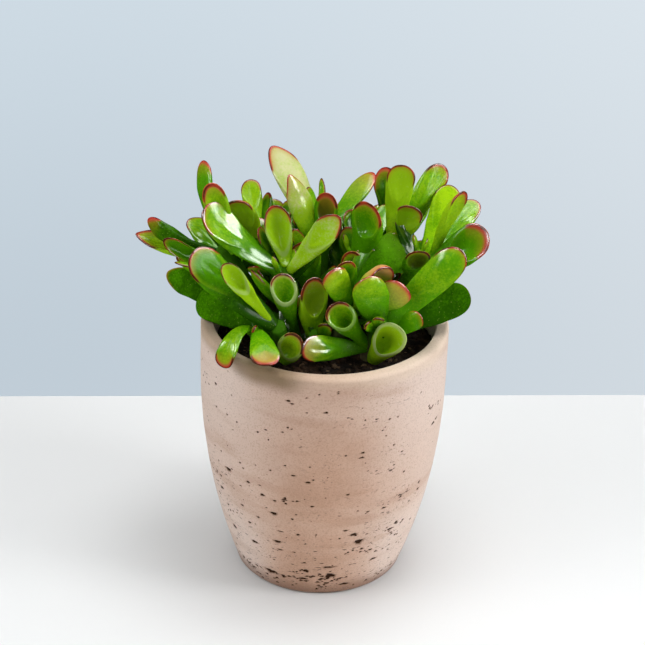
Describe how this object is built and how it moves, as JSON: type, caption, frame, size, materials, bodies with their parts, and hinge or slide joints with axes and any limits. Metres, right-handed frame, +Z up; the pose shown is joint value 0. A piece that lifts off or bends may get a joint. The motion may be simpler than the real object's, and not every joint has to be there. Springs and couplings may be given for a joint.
{
  "type": "potted plant",
  "caption": "Finger jade succulent with spoon, channel and trumpet leaves in a tapered round concrete pot, standing on its flat base.",
  "frame": {"origin": "centre of the pot's flat base", "axes": "+Z up along the pot's axis, -Y towards the front, +X to the right seen from the front"},
  "size_m": [0.1837, 0.1432, 0.2252],
  "materials": {
    "pot_concrete": "cast, pitted, matt",
    "soil": "crumbly, damp",
    "stem": "smooth bark",
    "leaf": "waxy, red at the edge",
    "young_leaf": "waxy, pale"
  },
  "bodies": {
    "root": {"pot": "pot_concrete", "soil": "soil", "stem_left": "stem", "stem_front_left": "stem", "stem_rim_left": "stem", "stem_centre_left": "stem", "stem_back_left": "stem", "stem_centre": "stem", "stem_centre_back": "stem", "stem_back": "stem", "stem_back_right": "stem", "stem_right": "stem", "stem_centre_right": "stem", "stem_front_right": "stem", "stem_front": "stem", "leaf_left_1": "leaf", "leaf_left_2": "leaf", "leaf_left_3": "leaf", "leaf_left_4": "leaf", "leaf_left_5": "leaf", "leaf_left_6": "leaf", "leaf_front_left_1": "leaf", "leaf_front_left_2": "young_leaf", "leaf_front_left_3": "leaf", "leaf_front_left_4": "leaf", "leaf_rim_left_1": "leaf", "leaf_rim_left_2": "leaf", "leaf_centre_left_1": "leaf", "leaf_centre_left_2": "leaf", "leaf_centre_left_3": "young_leaf", "leaf_centre_left_4": "leaf", "leaf_back_left_1": "leaf", "leaf_back_left_2": "young_leaf", "leaf_back_left_3": "leaf", "leaf_centre_1": "leaf", "leaf_centre_2": "leaf", "leaf_centre_3": "leaf", "leaf_centre_4": "leaf", "leaf_centre_5": "leaf", "leaf_centre_back_1": "leaf", "leaf_back_right_1": "leaf", "leaf_back_right_2": "young_leaf", "leaf_back_right_3": "leaf", "leaf_back_right_4": "leaf", "leaf_right_1": "young_leaf", "leaf_right_2": "leaf", "leaf_right_3": "leaf", "leaf_right_4": "leaf", "leaf_right_5": "leaf", "leaf_centre_right_1": "leaf", "leaf_centre_right_2": "leaf", "leaf_centre_right_3": "leaf", "leaf_centre_right_4": "leaf", "leaf_front_right_1": "leaf", "leaf_front_right_2": "leaf", "leaf_front_right_3": "leaf", "leaf_front_right_4": "leaf", "leaf_front_right_5": "leaf", "leaf_front_right_6": "leaf", "leaf_front_1": "leaf"}
  },
  "joints": []
}
